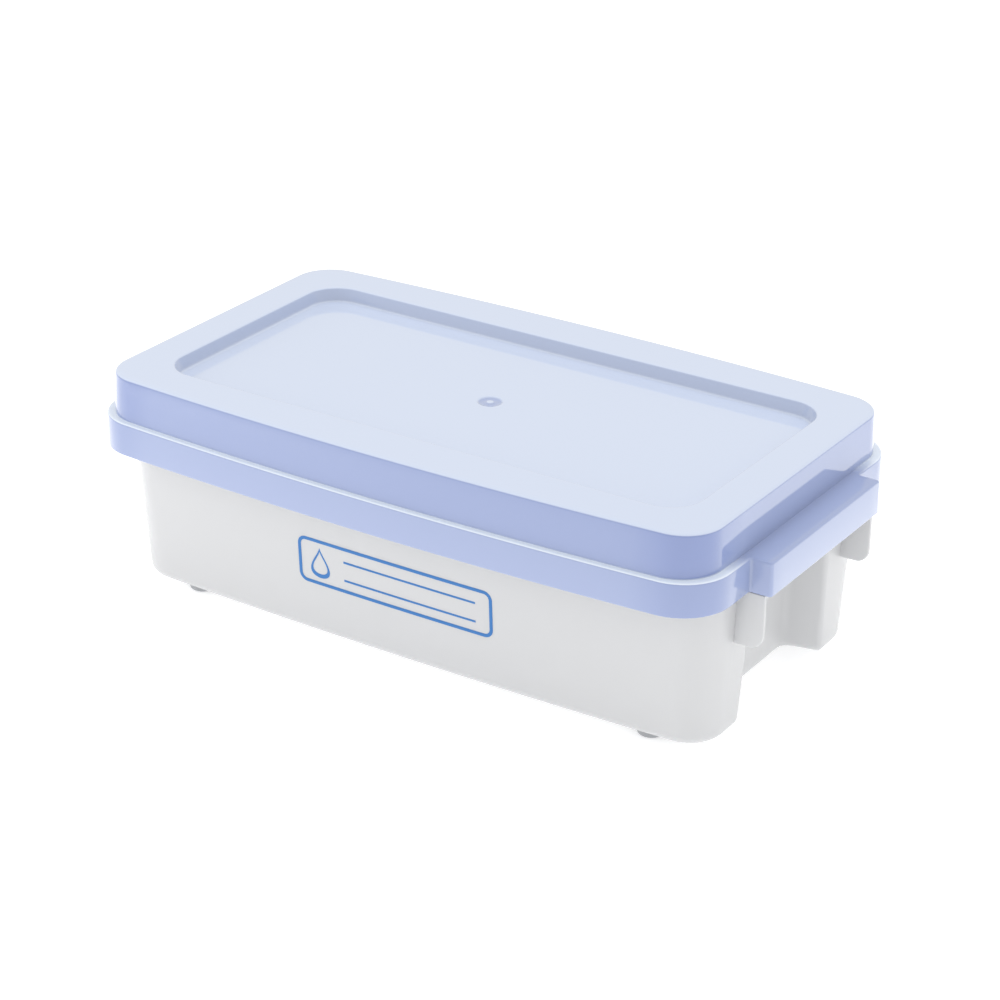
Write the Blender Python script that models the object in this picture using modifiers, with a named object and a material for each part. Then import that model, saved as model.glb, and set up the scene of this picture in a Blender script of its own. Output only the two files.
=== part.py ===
"""Lidded soaking box for small laboratory instruments.

The box is a shallow moulded tank with an overhanging lid. A perforated basket hangs in the
tank by two end handles, and a perforated press plate lies in the basket. Sizes are in metres.
The frame has +X along the box, +Z up, and its origin on the floor under the box's middle.
"""

import math

import bmesh
import bpy
from mathutils import Vector

NAME = "soaking_box"
GAP = 0.0003  # running gap between pieces that rest on each other
PAST = 0.003  # how far a cutter runs past the face it opens
BITE = 0.0005  # how far solids that are joined run into each other
TOUCHING = 1e-6  # closer than this counts as the same place
SMALLEST_ROUND = 0.0008  # inner corners never get sharper than this
SHARP_ANGLE = 0.6  # radians between faces that still shade as one surface
CORNER_STEPS = 6
BOW_STEPS = 6

# Lid: an upper band on a wider skirt, with a shallow pan pressed into its top.
LID_TOP_Z = 0.0884
LEDGE_Z = 0.0725
SKIRT_Z = 0.0600
SKIRT_HALF_LENGTH = 0.1289
SKIRT_HALF_WIDTH = 0.0722
SKIRT_RADIUS = 0.0190
SIDE_BOW = 0.0035  # how far the long sides swell out at the middle
SKIRT_DRAFT = 0.0003
LEDGE_WIDTH = 0.0021
BAND_DRAFT = 0.0015
LID_WALL = 0.0018
LID_EDGE_ROUND = 0.0015
LEDGE_ROUND = 0.0006
PAN_HALF_LENGTH = 0.1095
PAN_HALF_WIDTH = 0.0520
PAN_RADIUS = 0.0130
PAN_DEPTH = 0.0053
PAN_DRAFT = 0.0010
EAR_REACH = 0.1370
EAR_HALF_WIDTH = 0.0400
EAR_ROUND = 0.0010

# Tank: drafted walls with a finger recess in each end, under a wide rim with two ears.
TANK_Z = 0.0030
RIM_Z = LEDGE_Z - LID_WALL - GAP
TANK_HALF_LENGTH = 0.1223
TANK_HALF_WIDTH = 0.0549
TANK_RADIUS = 0.0140
TANK_BOW = 0.0023
LENGTH_DRAFT = 0.040  # growth of the half length per metre of height
WIDTH_DRAFT = 0.062
RECESS_DRAFT = 0.060  # the lobes beside each recess thicken upwards
TANK_WALL = 0.0020
TANK_FLOOR = 0.0020
TANK_BOTTOM_ROUND = 0.0036
FLOOR_ROUND = 0.0030
RECESS_DEPTH = 0.0135
RECESS_MOUTH = 0.0306
RECESS_ROOT = 0.0276
MOUTH_ROUND = 0.0022
ROOT_ROUND = 0.0035
RIM_THICKNESS = 0.0020
RIM_LIP_Z = 0.0610
RIM_LIP_WALL = 0.0016
LID_CLEARANCE = 0.0004
FIN_Z = 0.0396
FIN_WALL = 0.0016
FIN_ROUND = 0.0050

# Feet.
FOOT_X = 0.0975
FOOT_Y = 0.0468
FOOT_RADIUS = 0.0049
FOOT_ROUND = 0.0008
FOOT_SIDES = 24

# Basket.
BASKET_Z = 0.0080
BASKET_RIM_Z = 0.0660
BASKET_HALF_LENGTH = 0.1020
BASKET_HALF_WIDTH = 0.0490
BASKET_RADIUS = 0.0060
BASKET_WALL = 0.0016
BASKET_SPREAD = 0.0020  # growth from the floor to the rim
BASKET_BEAD = 0.0025
HANDLE_HALF_WIDTH = 0.0220
HANDLE_REACH = 0.1180
HANDLE_TOP_Z = 0.0800
BASKET_HOLES = (9, 4)
BASKET_PITCH = 0.0215

# Press plate.
PLATE_HALF_LENGTH = 0.0970
PLATE_HALF_WIDTH = 0.0440
PLATE_RADIUS = 0.0090
PLATE_THICKNESS = 0.0020
PLATE_BORDER = 0.0018
PLATE_BORDER_HEIGHT = 0.0050
PLATE_HOLES = (8, 3)
PLATE_PITCH = 0.0225
GRIP_HALF_SPAN = 0.0240
GRIP_HALF_WIDTH = 0.0060
GRIP_WALL = 0.0030
GRIP_HEIGHT = 0.0240
GRIP_ROUND = 0.0060
GRIP_INNER_ROUND = 0.0040

HOLE_RADIUS = 0.0035
HOLE_SIDES = 8


def clear_scene():
    for obj in list(bpy.data.objects):
        bpy.data.objects.remove(obj, do_unlink=True)


def new_collection(name):
    group = bpy.data.collections.new(name)
    bpy.context.scene.collection.children.link(group)
    return group


def plastic(name, colour, roughness):
    mat = bpy.data.materials.new(name)
    mat.use_nodes = True
    shader = mat.node_tree.nodes["Principled BSDF"]
    shader.inputs["Base Color"].default_value = (*colour, 1.0)
    shader.inputs["Roughness"].default_value = roughness
    shader.inputs["Metallic"].default_value = 0.0
    return mat


# Outlines: lists of (x, y) points, anticlockwise seen from above.


def arc(centre, radius, start, end, steps=CORNER_STEPS):
    turns = [start + (end - start) * k / steps for k in range(steps + 1)]
    return [(centre[0] + radius * math.cos(t), centre[1] + radius * math.sin(t)) for t in turns]


def fillet(before, corner, after, radius, steps=3):
    """The arc that rounds off the corner between two straight legs."""
    corner = Vector(corner)
    leg_in = (Vector(before) - corner).normalized()
    leg_out = (Vector(after) - corner).normalized()
    half = leg_in.angle(leg_out) / 2
    centre = corner + (leg_in + leg_out).normalized() * radius / math.sin(half)
    first = corner + leg_in * radius / math.tan(half) - centre
    last = corner + leg_out * radius / math.tan(half) - centre
    start = math.atan2(first.y, first.x)
    sweep = math.atan2(first.x * last.y - first.y * last.x, first.dot(last))
    return arc(centre, radius, start, start + sweep, steps)


def bowed_outline(half_length, half_width, radius, bow=0.0, inset=0.0, end_profile=()):
    """A round-cornered rectangle whose long sides swell out by bow. end_profile is the middle of the +X end."""
    length, width, round_by = half_length - inset, half_width - inset, radius - inset
    straight = length - round_by
    points = arc((straight, round_by - width), round_by, -math.pi / 2, 0)
    points += end_profile
    points += arc((straight, width - round_by), round_by, 0, math.pi / 2)
    for k in range(1, BOW_STEPS):
        x = straight * (1 - 2 * k / BOW_STEPS)
        points.append((x, width + bow * (1 - (x / straight) ** 2)))
    return points + [(-x, -y) for x, y in points]


def tank_outline(z, inset=0.0):
    """The tank's outline at a height, with its end recesses, moved in from the outer face by inset."""
    up = z - TANK_Z
    half_length = TANK_HALF_LENGTH + LENGTH_DRAFT * up
    half_width = TANK_HALF_WIDTH + WIDTH_DRAFT * up
    face = half_length - inset
    root = face - RECESS_DEPTH
    mouth = RECESS_MOUTH - RECESS_DRAFT * up + inset
    back = RECESS_ROOT - RECESS_DRAFT * up + inset
    legs = [(face, -mouth - TANK_RADIUS), (face, -mouth), (root, -back), (root, back), (face, mouth)]
    legs.append((face, mouth + TANK_RADIUS))
    profile = []
    edge, corner = max(MOUTH_ROUND - inset, SMALLEST_ROUND), ROOT_ROUND + inset
    for k, radius in enumerate((edge, corner, corner, edge), start=1):
        profile += fillet(legs[k - 1], legs[k], legs[k + 1], radius)
    return bowed_outline(half_length, half_width, TANK_RADIUS, TANK_BOW, inset, profile)


def skirt_outline(inset):
    return bowed_outline(SKIRT_HALF_LENGTH, SKIRT_HALF_WIDTH, SKIRT_RADIUS, SIDE_BOW, inset)


def edge_round(radius, steps=3):
    """(inset, height) pairs of a quarter-round edge, from its tip to the full wall."""
    turns = [math.pi / 2 * k / steps for k in range(steps + 1)]
    return [(radius * (1 - math.sin(t)), radius * (1 - math.cos(t))) for t in turns]


# Solids.


def new_object(name, bm, group):
    bmesh.ops.recalc_face_normals(bm, faces=bm.faces)
    mesh = bpy.data.meshes.new(name)
    bm.to_mesh(mesh)
    bm.free()
    obj = bpy.data.objects.new(name, mesh)
    group.objects.link(obj)
    return obj


def loft(name, sections, group):
    """A closed solid through outlines of one point count, given as (points, z) from bottom to top."""
    bm = bmesh.new()
    rings = [[bm.verts.new((x, y, z)) for x, y in points] for points, z in sections]
    bm.faces.new(reversed(rings[0]))
    bm.faces.new(rings[-1])
    for low, high in zip(rings, rings[1:]):
        for k in range(len(low)):
            n = (k + 1) % len(low)
            bm.faces.new((low[k], low[n], high[n], high[k]))
    return new_object(name, bm, group)


def block(name, low, high, group, soft_edges=None, soft=0.0):
    """A box between two corners. soft_edges picks edges, by their middle point, to round by soft."""
    bm = bmesh.new()
    bmesh.ops.create_cube(bm, size=1.0)
    for vert in bm.verts:
        vert.co = [a + (b - a) * (c + 0.5) for a, b, c in zip(low, high, vert.co)]
    if soft_edges:
        picked = [e for e in bm.edges if soft_edges((e.verts[0].co + e.verts[1].co) / 2)]
        bmesh.ops.bevel(bm, geom=picked, offset=soft, segments=3, profile=0.5, affect="EDGES")
    return new_object(name, bm, group)


def hole_grid(name, counts, pitch, low_z, high_z, group):
    """Upright prisms on a rectangular grid about the middle of the box."""
    bm = bmesh.new()
    for i in range(counts[0]):
        for j in range(counts[1]):
            made = bmesh.ops.create_cone(
                bm, cap_ends=True, segments=HOLE_SIDES, radius1=HOLE_RADIUS, radius2=HOLE_RADIUS,
                depth=high_z - low_z,
            )
            x = (i - (counts[0] - 1) / 2) * pitch
            y = (j - (counts[1] - 1) / 2) * pitch
            bmesh.ops.translate(bm, verts=made["verts"], vec=(x, y, (low_z + high_z) / 2))
    return new_object(name, bm, group)


def join(obj, other, operation):
    """Adds a Boolean to obj and turns the other shape into a wire helper."""
    other.hide_render = True
    other.display_type = "WIRE"
    step = obj.modifiers.new(f"{operation.lower()} {other.name}", "BOOLEAN")
    step.operation = operation
    step.object = other


def finish(obj, mat):
    obj.data.materials.append(mat)
    obj.data.shade_smooth()
    obj.data.set_sharp_from_angle(angle=SHARP_ANGLE)


# Sub-parts.


def make_tank(parts, tools, mat):
    low = [(tank_outline(TANK_Z + up, inset), TANK_Z + up) for inset, up in edge_round(TANK_BOTTOM_ROUND)]
    tank = loft("tank", low + [(tank_outline(RIM_Z), RIM_Z)], parts)

    floor = TANK_Z + TANK_FLOOR
    inside = [
        (tank_outline(floor + up, TANK_WALL + inset), floor + up)
        for inset, up in edge_round(FLOOR_ROUND, 2)
    ]
    top = RIM_Z + PAST
    cavity = loft("tank_cavity", inside + [(tank_outline(top, TANK_WALL), top)], tools)

    ear_reach = EAR_REACH - LID_WALL - LID_CLEARANCE
    ear_half = EAR_HALF_WIDTH - LID_WALL - LID_CLEARANCE
    outer = skirt_outline(LID_WALL + LID_CLEARANCE)
    rim = loft("tank_rim", [(outer, RIM_LIP_Z), (outer, RIM_Z)], tools)
    ears = block("tank_ears", (-ear_reach, -ear_half, RIM_LIP_Z), (ear_reach, ear_half, RIM_Z), tools)
    join(rim, ears, "UNION")
    under = RIM_Z - RIM_THICKNESS
    inner = skirt_outline(LID_WALL + LID_CLEARANCE + RIM_LIP_WALL)
    hollow = loft("rim_hollow", [(inner, RIM_LIP_Z - PAST), (inner, under)], tools)
    join(rim, hollow, "DIFFERENCE")
    reach, half = ear_reach - RIM_LIP_WALL, ear_half - RIM_LIP_WALL
    ear_hollow = block("ear_hollow", (-reach, -half, RIM_LIP_Z - PAST), (reach, half, under), tools)
    join(rim, ear_hollow, "DIFFERENCE")
    join(tank, rim, "UNION")

    wall_x = TANK_HALF_LENGTH - TANK_WALL / 2
    shoulder = SKIRT_Z - LID_CLEARANCE
    for end in (-1, 1):
        for side in (-1, 1):
            word = f"{'left' if end < 0 else 'right'}_{'front' if side < 0 else 'back'}"
            xs = sorted((end * wall_x, end * ear_reach))
            root, web_y, fin_y = (side * y for y in (ear_half - FIN_WALL, ear_half, EAR_HALF_WIDTH))
            tip = Vector((end * ear_reach, 0, FIN_Z))
            fin = block(
                f"fin_{word}", (xs[0], min(root, fin_y), FIN_Z), (xs[1], max(root, fin_y), shoulder), tools,
                lambda p, at=tip: abs(p.x - at.x) < TOUCHING and abs(p.z - at.z) < TOUCHING,
                FIN_ROUND,
            )
            web = block(
                f"web_{word}", (xs[0], min(root, web_y), shoulder - BITE),
                (xs[1], max(root, web_y), under + RIM_THICKNESS / 2), tools,
            )
            join(fin, web, "UNION")
            join(tank, fin, "UNION")
    join(tank, cavity, "DIFFERENCE")
    finish(tank, mat)


def make_lid(parts, tools, mat):
    base = SKIRT_DRAFT + LEDGE_WIDTH
    top = base + BAND_DRAFT
    outer = [
        (skirt_outline(0), SKIRT_Z),
        (skirt_outline(SKIRT_DRAFT), LEDGE_Z - LEDGE_ROUND),
        (skirt_outline(SKIRT_DRAFT + LEDGE_ROUND), LEDGE_Z),
        (skirt_outline(base), LEDGE_Z),
    ]
    outer += [
        (skirt_outline(top + inset), LID_TOP_Z - down)
        for inset, down in reversed(edge_round(LID_EDGE_ROUND))
    ]
    lid = loft("lid", outer, parts)
    ears = block(
        "lid_ears", (-EAR_REACH, -EAR_HALF_WIDTH, SKIRT_Z), (EAR_REACH, EAR_HALF_WIDTH, LEDGE_Z), tools,
        lambda p: abs(p.x) > EAR_REACH - TOUCHING and p.z > SKIRT_Z + TOUCHING, EAR_ROUND,
    )
    join(lid, ears, "UNION")

    inside = [
        (skirt_outline(LID_WALL), SKIRT_Z - PAST),
        (skirt_outline(LID_WALL), LEDGE_Z - LID_WALL),
        (skirt_outline(base + LID_WALL), LEDGE_Z - LID_WALL),
        (skirt_outline(top + LID_WALL), LID_TOP_Z - LID_WALL),
    ]
    join(lid, loft("lid_cavity", inside, tools), "DIFFERENCE")
    reach, half = EAR_REACH - LID_WALL, EAR_HALF_WIDTH - LID_WALL
    hollow = block("lid_ear_hollow", (-reach, -half, SKIRT_Z - PAST), (reach, half, LEDGE_Z - LID_WALL), tools)
    join(lid, hollow, "DIFFERENCE")

    def pan(name, grow, low, high):
        shape = (PAN_HALF_LENGTH, PAN_HALF_WIDTH, PAN_RADIUS, 0.0)
        sections = [(bowed_outline(*shape, PAN_DRAFT - grow), low), (bowed_outline(*shape, -grow), high)]
        return loft(name, sections, tools)

    floor = LID_TOP_Z - PAN_DEPTH
    join(lid, pan("pan_wall", LID_WALL, floor - LID_WALL, LID_TOP_Z - LID_WALL / 2), "UNION")
    join(lid, pan("pan_hollow", 0.0, floor, LID_TOP_Z + GAP), "DIFFERENCE")
    finish(lid, mat)


def make_feet(parts, mat):
    height = TANK_Z - GAP
    for x, end in ((-FOOT_X, "left"), (FOOT_X, "right")):
        for y, side in ((-FOOT_Y, "front"), (FOOT_Y, "back")):
            bpy.ops.mesh.primitive_cylinder_add(vertices=FOOT_SIDES, radius=FOOT_RADIUS, depth=height)
            foot = bpy.context.object
            foot.name = f"foot_{side}_{end}"
            foot.location = (x, y, height / 2)
            for group in list(foot.users_collection):
                group.objects.unlink(foot)
            parts.objects.link(foot)
            soft = foot.modifiers.new("rounded edge", "BEVEL")
            soft.width = FOOT_ROUND
            soft.segments = 2
            finish(foot, mat)


def make_basket(parts, tools, mat):
    shape = (BASKET_HALF_LENGTH, BASKET_HALF_WIDTH, BASKET_RADIUS, 0.0)

    def at(inset):
        return bowed_outline(*shape, inset)

    soft = edge_round(FLOOR_ROUND, 2)
    outer = [(at(inset), BASKET_Z + up) for inset, up in soft]
    basket = loft("basket", outer + [(at(-BASKET_SPREAD), BASKET_RIM_Z)], parts)
    bead = at(-BASKET_SPREAD - BASKET_BEAD)
    join(basket, loft("basket_bead", [(bead, BASKET_RIM_Z - BASKET_WALL), (bead, BASKET_RIM_Z)], tools), "UNION")

    tab_z = RIM_Z + GAP
    wall = BASKET_HALF_LENGTH + BASKET_SPREAD
    inner = wall - BASKET_WALL - 2 * BITE
    for end, word in ((-1, "left"), (1, "right")):
        def strap(name, x0, x1, z0, z1):
            xs = sorted((end * x0, end * x1))
            low, high = (xs[0], -HANDLE_HALF_WIDTH, z0), (xs[1], HANDLE_HALF_WIDTH, z1)
            join(basket, block(f"{name}_{word}", low, high, tools), "UNION")

        strap("handle_riser", inner, wall + BITE, BASKET_RIM_Z - PAST, tab_z + BASKET_WALL)
        strap("handle_tab", wall - BITE, HANDLE_REACH, tab_z, tab_z + BASKET_WALL)
        strap("handle_lip", HANDLE_REACH - BASKET_WALL, HANDLE_REACH, tab_z + BITE, HANDLE_TOP_Z)

    inside = [(at(BASKET_WALL + inset), BASKET_Z + BASKET_WALL + up) for inset, up in soft]
    inside.append((at(BASKET_WALL - BASKET_SPREAD), BASKET_RIM_Z + BITE))
    join(basket, loft("basket_cavity", inside, tools), "DIFFERENCE")
    holes = hole_grid(
        "basket_holes", BASKET_HOLES, BASKET_PITCH, BASKET_Z - PAST, BASKET_Z + BASKET_WALL + PAST, tools
    )
    join(basket, holes, "DIFFERENCE")
    finish(basket, mat)


def make_press_plate(parts, tools, mat):
    low = BASKET_Z + BASKET_WALL + GAP
    face = low + PLATE_THICKNESS
    shape = (PLATE_HALF_LENGTH, PLATE_HALF_WIDTH, PLATE_RADIUS, 0.0)
    outer = bowed_outline(*shape)
    plate = loft("press_plate", [(outer, low), (outer, low + PLATE_BORDER_HEIGHT)], parts)
    inner = bowed_outline(*shape, PLATE_BORDER)
    top = low + PLATE_BORDER_HEIGHT + PAST
    join(plate, loft("plate_hollow", [(inner, face), (inner, top)], tools), "DIFFERENCE")
    holes = hole_grid("plate_holes", PLATE_HOLES, PLATE_PITCH, low - PAST, face + PAST, tools)
    join(plate, holes, "DIFFERENCE")
    grip_top = low + GRIP_HEIGHT
    grip = block(
        "plate_grip", (-GRIP_HALF_SPAN, -GRIP_HALF_WIDTH, face - PLATE_THICKNESS / 2),
        (GRIP_HALF_SPAN, GRIP_HALF_WIDTH, grip_top), tools,
        lambda p: abs(p.x) > GRIP_HALF_SPAN - TOUCHING and p.z > grip_top - TOUCHING, GRIP_ROUND,
    )
    span = GRIP_HALF_SPAN - GRIP_WALL
    opening = block(
        "grip_opening", (-span, -GRIP_HALF_WIDTH - PAST, face),
        (span, GRIP_HALF_WIDTH + PAST, grip_top - GRIP_WALL), tools,
        lambda p: abs(p.x) > span - TOUCHING and p.z > grip_top - GRIP_WALL - TOUCHING,
        GRIP_INNER_ROUND,
    )
    join(grip, opening, "DIFFERENCE")
    join(plate, grip, "UNION")
    finish(plate, mat)


def main():
    clear_scene()
    parts = new_collection(NAME)
    tools = new_collection(f"{NAME}_cutters")
    make_tank(parts, tools, plastic("tank_white", (0.80, 0.82, 0.83), 0.35))
    make_lid(parts, tools, plastic("lid_blue", (0.46, 0.56, 0.84), 0.25))
    make_feet(parts, plastic("foot_grey", (0.45, 0.46, 0.48), 0.60))
    make_basket(parts, tools, plastic("basket_white", (0.78, 0.80, 0.81), 0.40))
    make_press_plate(parts, tools, plastic("plate_white", (0.78, 0.80, 0.81), 0.40))


main()
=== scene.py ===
"""Visual model of a lidded soaking box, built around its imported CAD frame.

The tank, lid, basket, press plate and feet are fine meshes that stand for the coarse CAD nodes.
Every size is in metres in the CAD frame: +X along the box, +Z up, origin on the floor.
"""

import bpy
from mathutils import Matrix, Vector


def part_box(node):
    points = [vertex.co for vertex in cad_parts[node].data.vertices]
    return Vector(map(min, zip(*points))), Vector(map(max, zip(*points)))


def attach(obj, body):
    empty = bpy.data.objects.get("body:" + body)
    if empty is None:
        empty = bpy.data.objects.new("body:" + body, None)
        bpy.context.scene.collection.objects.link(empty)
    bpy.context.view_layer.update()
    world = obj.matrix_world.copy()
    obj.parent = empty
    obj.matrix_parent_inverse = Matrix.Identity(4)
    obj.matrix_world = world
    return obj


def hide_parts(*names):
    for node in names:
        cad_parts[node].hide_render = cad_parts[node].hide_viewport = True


bl_info = {
    "name": "Soaking box",
    "version": (1, 0, 0),
    "blender": (4, 5, 0),
    "location": "View3D > Sidebar > Soaking box",
    "description": "Builds a lidded soaking box with its basket, press plate and studio stage",
    "category": "Add Mesh",
}

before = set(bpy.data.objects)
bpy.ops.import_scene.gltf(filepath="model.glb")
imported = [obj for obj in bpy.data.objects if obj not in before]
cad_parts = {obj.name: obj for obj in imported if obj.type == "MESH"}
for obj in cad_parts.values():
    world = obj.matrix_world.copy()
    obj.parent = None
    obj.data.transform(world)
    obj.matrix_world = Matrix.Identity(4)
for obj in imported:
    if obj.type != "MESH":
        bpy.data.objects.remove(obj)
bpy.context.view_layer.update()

import math

import bmesh
import bpy
from bpy.props import FloatProperty, FloatVectorProperty, IntProperty, PointerProperty
from mathutils import Matrix, Vector

LID_LOW, LID_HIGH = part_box("lid")
TANK_LOW, TANK_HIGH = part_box("tank")
BASKET_LOW, BASKET_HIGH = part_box("basket")
PLATE_LOW, PLATE_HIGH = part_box("press_plate")
FOOT_LOW, FOOT_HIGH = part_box("foot_front_right")

SIZES = "soaking_box_sizes"
COLOURS = "soaking_box_colours"
STAGE = "soaking_box_stage"
DEPTH = "colour_depth"  # point attribute of painted light and shade: 0 gives the pale lit colour of flat panels, 1 the deep painted shade of walls


def length(name, description, default):
    return FloatProperty(name=name, description=description, default=default, unit="LENGTH")


def number(name, description, default):
    return FloatProperty(name=name, description=description, default=default)


def count(name, description, default):
    return IntProperty(name=name, description=description, default=default)


def colour(name, description, default):
    return FloatVectorProperty(
        name=name, description=description, default=default, subtype="COLOR", size=3, min=0.0, max=1.0
    )


# ---------------------------------------------------------------- settings


class BoxSizes(bpy.types.PropertyGroup):
    """Sizes of the mouldings"""

    skirt_half_length: length("Skirt half length", "From the middle to the skirt's end face", 0.1289)
    skirt_radius: length("Skirt corner", "Corner radius of the lid's skirt", 0.019)
    side_bow: length("Side bow", "How far the lid's long sides swell out at the middle", 0.0035)
    ledge_z: length("Ledge height", "Height of the step between skirt and upper band", 0.0725)
    ledge_width: length("Ledge width", "Width of that step", 0.0021)
    skirt_draft: length("Skirt draft", "How far the skirt leans in up to the step", 0.0003)
    band_draft: length("Band draft", "How far the upper band leans in up to the top", 0.0015)
    lid_wall: length("Lid wall", "Wall thickness of the lid", 0.0018)
    ear_half_width: length("Ear half width", "Half the width of an ear", 0.040)
    pan_half_length: length("Pan half length", "Half the length of the pan in the lid's top", 0.1095)
    pan_half_width: length("Pan half width", "Half the width of the pan", 0.052)
    pan_radius: length("Pan corner", "Corner radius of the pan", 0.013)
    pan_depth: length("Pan depth", "Depth of the pan", 0.0053)
    pan_draft: length("Pan draft", "How far the pan's wall leans in", 0.001)
    top_round: length("Top edge", "Radius of the lid's top edge", 0.0011)
    end_steepness: number("End steepness", "How much of the band's lean its ends lack", 0.67)
    # The depths below paint light and shade into the lid's colour, from 0 (lit) to 1 (shaded): a little less
    # shade on the ends, light shade on the pan's wall, deep shade on the ears' tops, extra shade in corners,
    # less shade on the skirt than on the band, and below 0 a painted highlight on edges
    end_shade: number("End depth", "Depth of colour of the lid's ends", 0.9)
    pan_wall_shade: number("Pan tint", "Depth of colour of the pan's wall", 0.3)
    ear_top_shade: number("Ear tint", "Depth of colour on top of the ears", 0.85)
    corner_shade: number("Corner tint", "Extra depth of colour at corners", 0.2)
    skirt_shade: number("Skirt tint", "Depth of colour of the skirt", 0.85)
    edge_highlight: number("Edge tint", "Below 0: edges that gather light", -0.7)
    gate_radius: length("Gate mark", "Radius of the moulding mark in the middle of the lid", 0.0048)
    clearance: length("Clearance", "Gap between the tank's rim and the skirt", 0.0004)

    tank_half_length: length("Tank half length", "Half length of the tank at its floor", 0.1223)
    tank_half_width: length("Tank half width", "Half width of the tank at its floor", 0.0549)
    tank_radius: length("Tank corner", "Corner radius of the tank", 0.014)
    tank_bow: length("Tank bow", "How far the tank's long walls swell out at the middle", 0.0023)
    length_draft: number("End draft", "Lean of the end walls", 0.040)
    width_draft: number("Side draft", "Lean of the long walls", 0.062)
    recess_draft: number("Recess draft", "Lean of the recess sides", 0.060)
    tank_wall: length("Tank wall", "Wall thickness of the tank", 0.002)
    bottom_round: length("Bottom edge", "Radius along the tank's bottom edge", 0.0036)
    recess_depth: length("Recess depth", "Depth of the finger recess in each end", 0.0135)
    recess_mouth: length("Recess mouth", "Half width of the recess at the end face", 0.0306)
    recess_root: length("Recess root", "Half width of the recess at its back", 0.0276)
    mouth_round: length("Mouth radius", "Radius where the recess opens", 0.0022)
    root_round: length("Root radius", "Radius at the back of the recess", 0.0035)
    rim_thickness: length("Rim thickness", "Thickness of the tank's rim", 0.002)
    rim_lip_z: length("Rim lip", "Height of the lower edge of the rim's lip", 0.061)
    rim_lip_wall: length("Lip wall", "Thickness of the rim's lip", 0.0016)
    fin_z: length("Fin height", "Height of the fins' lower edge", 0.0396)
    fin_wall: length("Fin wall", "Thickness of a fin", 0.0014)

    basket_half_length: length("Basket half length", "Half length of the basket at its floor", 0.102)
    basket_half_width: length("Basket half width", "Half width of the basket at its floor", 0.049)
    basket_radius: length("Basket corner", "Corner radius of the basket", 0.006)
    basket_rim_z: length("Basket rim", "Height of the basket's rim", 0.066)
    basket_wall: length("Basket wall", "Wall thickness of the basket", 0.0016)
    basket_spread: length("Basket spread", "How much wider the basket is at its rim", 0.002)
    basket_bead: length("Basket bead", "Width of the bead round the basket's rim", 0.0025)
    handle_half_width: length("Handle half width", "Half the width of a basket handle", 0.022)
    plate_radius: length("Plate corner", "Corner radius of the press plate", 0.009)
    plate_thickness: length("Plate thickness", "Thickness of the press plate", 0.002)
    plate_border: length("Plate border", "Wall thickness of the press plate's border", 0.0018)
    plate_border_height: length("Border height", "Height of the press plate's border", 0.005)
    grip_half_span: length("Grip half span", "Half the span of the press plate's grip", 0.024)
    grip_half_width: length("Grip half width", "Half the width of the press plate's grip", 0.006)
    grip_wall: length("Grip wall", "Thickness of the grip", 0.003)
    hole_radius: length("Hole radius", "Radius of the drain holes", 0.0034)
    basket_pitch: length("Basket pitch", "Distance between the basket's drain holes", 0.0215)
    basket_columns: count("Basket columns", "Drain holes along the basket", 9)
    basket_rows: count("Basket rows", "Drain holes across the basket", 4)
    plate_pitch: length("Plate pitch", "Distance between the press plate's holes", 0.0225)
    plate_columns: count("Plate columns", "Holes along the press plate", 8)
    plate_rows: count("Plate rows", "Holes across the press plate", 3)

    label_x: length("Label middle", "Where the middle of the printed label stands", -0.0015)
    label_z: length("Label height", "Height of the middle of the printed label", 0.033)
    label_length: length("Label length", "Length of the printed label frame", 0.083)
    label_height: length("Label depth", "Height of the printed label frame", 0.0185)
    label_radius: length("Label corner", "Corner radius of the printed label frame", 0.0035)
    drop_size: length("Drop size", "Size of the printed drop", 0.0050)
    drop_place: length("Drop place", "From the frame's left edge to the drop's middle", 0.0095)
    line_start: length("Line start", "From the frame's left edge to the ruled lines", 0.020)
    line_end: length("Line end", "From the ruled lines to the frame's right edge", 0.007)
    upper_line: length("Upper line", "Height of the upper line above the frame's middle", 0.0032)
    lower_line: length("Lower line", "Height of the lower line above the frame's middle", -0.0042)
    stroke: length("Stroke", "Width of the printed lines", 0.0013)


class BoxColours(bpy.types.PropertyGroup):
    """Colours of the mouldings"""

    # painted light: the lid's blue comes as a pale lit copy and a deep shaded copy, mixed by the painted
    # light and shade on its points
    lid_lit: colour("Lid panels", "The blue plastic where it is thin", (0.62, 0.69, 0.84))
    lid_shaded: colour("Lid walls", "The blue plastic where it is deep", (0.295, 0.36, 0.60))
    tank: colour("Tank", "The milky white plastic", (0.64, 0.645, 0.655))
    insert: colour("Inserts", "The white plastic of the basket and press plate", (0.74, 0.76, 0.77))
    foot: colour("Feet", "The grey pads", (0.40, 0.41, 0.43))
    ink: colour("Ink", "The printed label's blue", (0.028, 0.18, 0.50))


class BoxStage(bpy.types.PropertyGroup):
    """Camera, floor and lights"""

    azimuth: number("Azimuth", "Camera's turn to the right", 32.72)
    elevation: number("Elevation", "Camera's height as an angle", 25.21)
    roll: number("Roll", "Camera's turn about its own line of sight", 0.71)
    distance: length("Distance", "From the camera to the point it looks at", 1.0605)
    target: FloatVectorProperty(
        name="Target", description="Point that the camera looks at", default=(-0.0063, 0.0172, 0.0355),
        subtype="TRANSLATION", size=3,
    )
    lens: number("Lens", "Focal length in millimetres", 102.47)
    sky: number("Sky", "Strength of the even white light all round", 0.74)
    glow: number("Table glow", "Strength of the lit table's own light", 0.45)


def sizes():
    return getattr(bpy.context.scene, SIZES)


def colours():
    return getattr(bpy.context.scene, COLOURS)


# ---------------------------------------------------------------- outlines

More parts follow.
